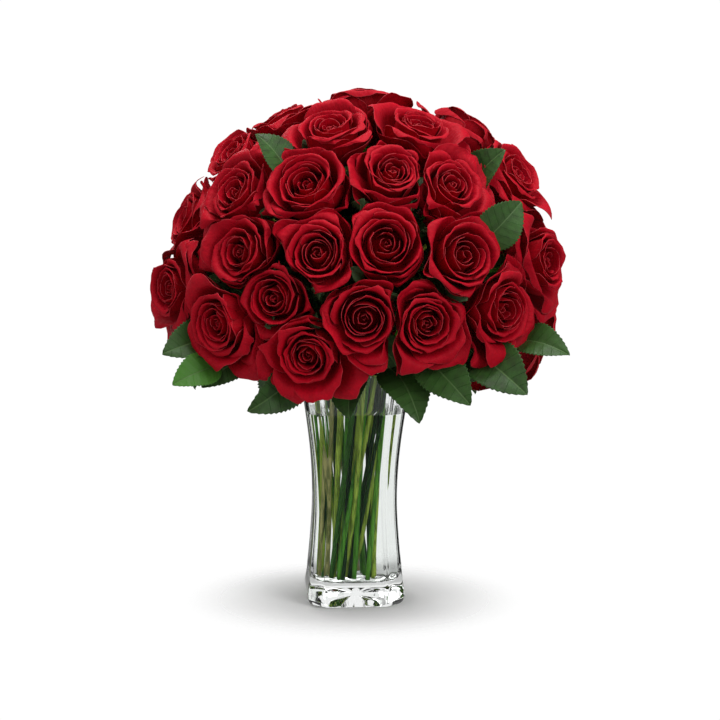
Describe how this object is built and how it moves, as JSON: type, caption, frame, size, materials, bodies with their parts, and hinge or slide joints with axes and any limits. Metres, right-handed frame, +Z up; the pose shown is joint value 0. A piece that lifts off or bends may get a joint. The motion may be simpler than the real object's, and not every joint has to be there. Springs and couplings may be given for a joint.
{
  "type": "vase of roses",
  "caption": "Bouquet of cut red roses with toothed green leaves, in a waisted square clear glass vase of water.",
  "frame": {"origin": "centre of the vase's foot, on the surface that it stands on", "axes": "+Z up, +X to the right and +Y to the back as the bouquet is seen from its front"},
  "size_m": [0.4265, 0.3242, 0.5422],
  "materials": {
    "glass": "clear, polished",
    "water": "clear",
    "green": "satin",
    "petals": "velvety"
  },
  "bodies": {
    "root": {"vase": "glass", "water": "water", "stems_1": "green", "stems_2": "green", "stems_3": "green", "stems_4": "green", "stems_5": "green", "stems_6": "green", "stems_7": "green", "stems_8": "green", "stems_9": "green", "stems_10": "green", "stems_11": "green", "stems_12": "green", "stems_13": "green", "stems_14": "green", "stems_15": "green", "stems_16": "green", "stems_17": "green", "stems_18": "green", "rose_1": "petals", "rose_2": "petals", "rose_3": "petals", "rose_4": "petals", "rose_5": "petals", "rose_6": "petals", "rose_7": "petals", "rose_8": "petals", "rose_9": "petals", "rose_10": "petals", "rose_11": "petals", "rose_12": "petals", "rose_13": "petals", "rose_14": "petals", "rose_15": "petals", "rose_16": "petals", "rose_17": "petals", "rose_18": "petals", "rose_19": "petals", "rose_20": "petals", "rose_21": "petals", "rose_22": "petals", "rose_23": "petals", "rose_24": "petals", "rose_25": "petals", "rose_26": "petals", "rose_27": "petals", "rose_28": "petals", "rose_29": "petals", "rose_30": "petals", "rose_31": "petals", "rose_32": "petals", "rose_33": "petals", "rose_34": "petals", "rose_35": "petals"}
  },
  "joints": []
}
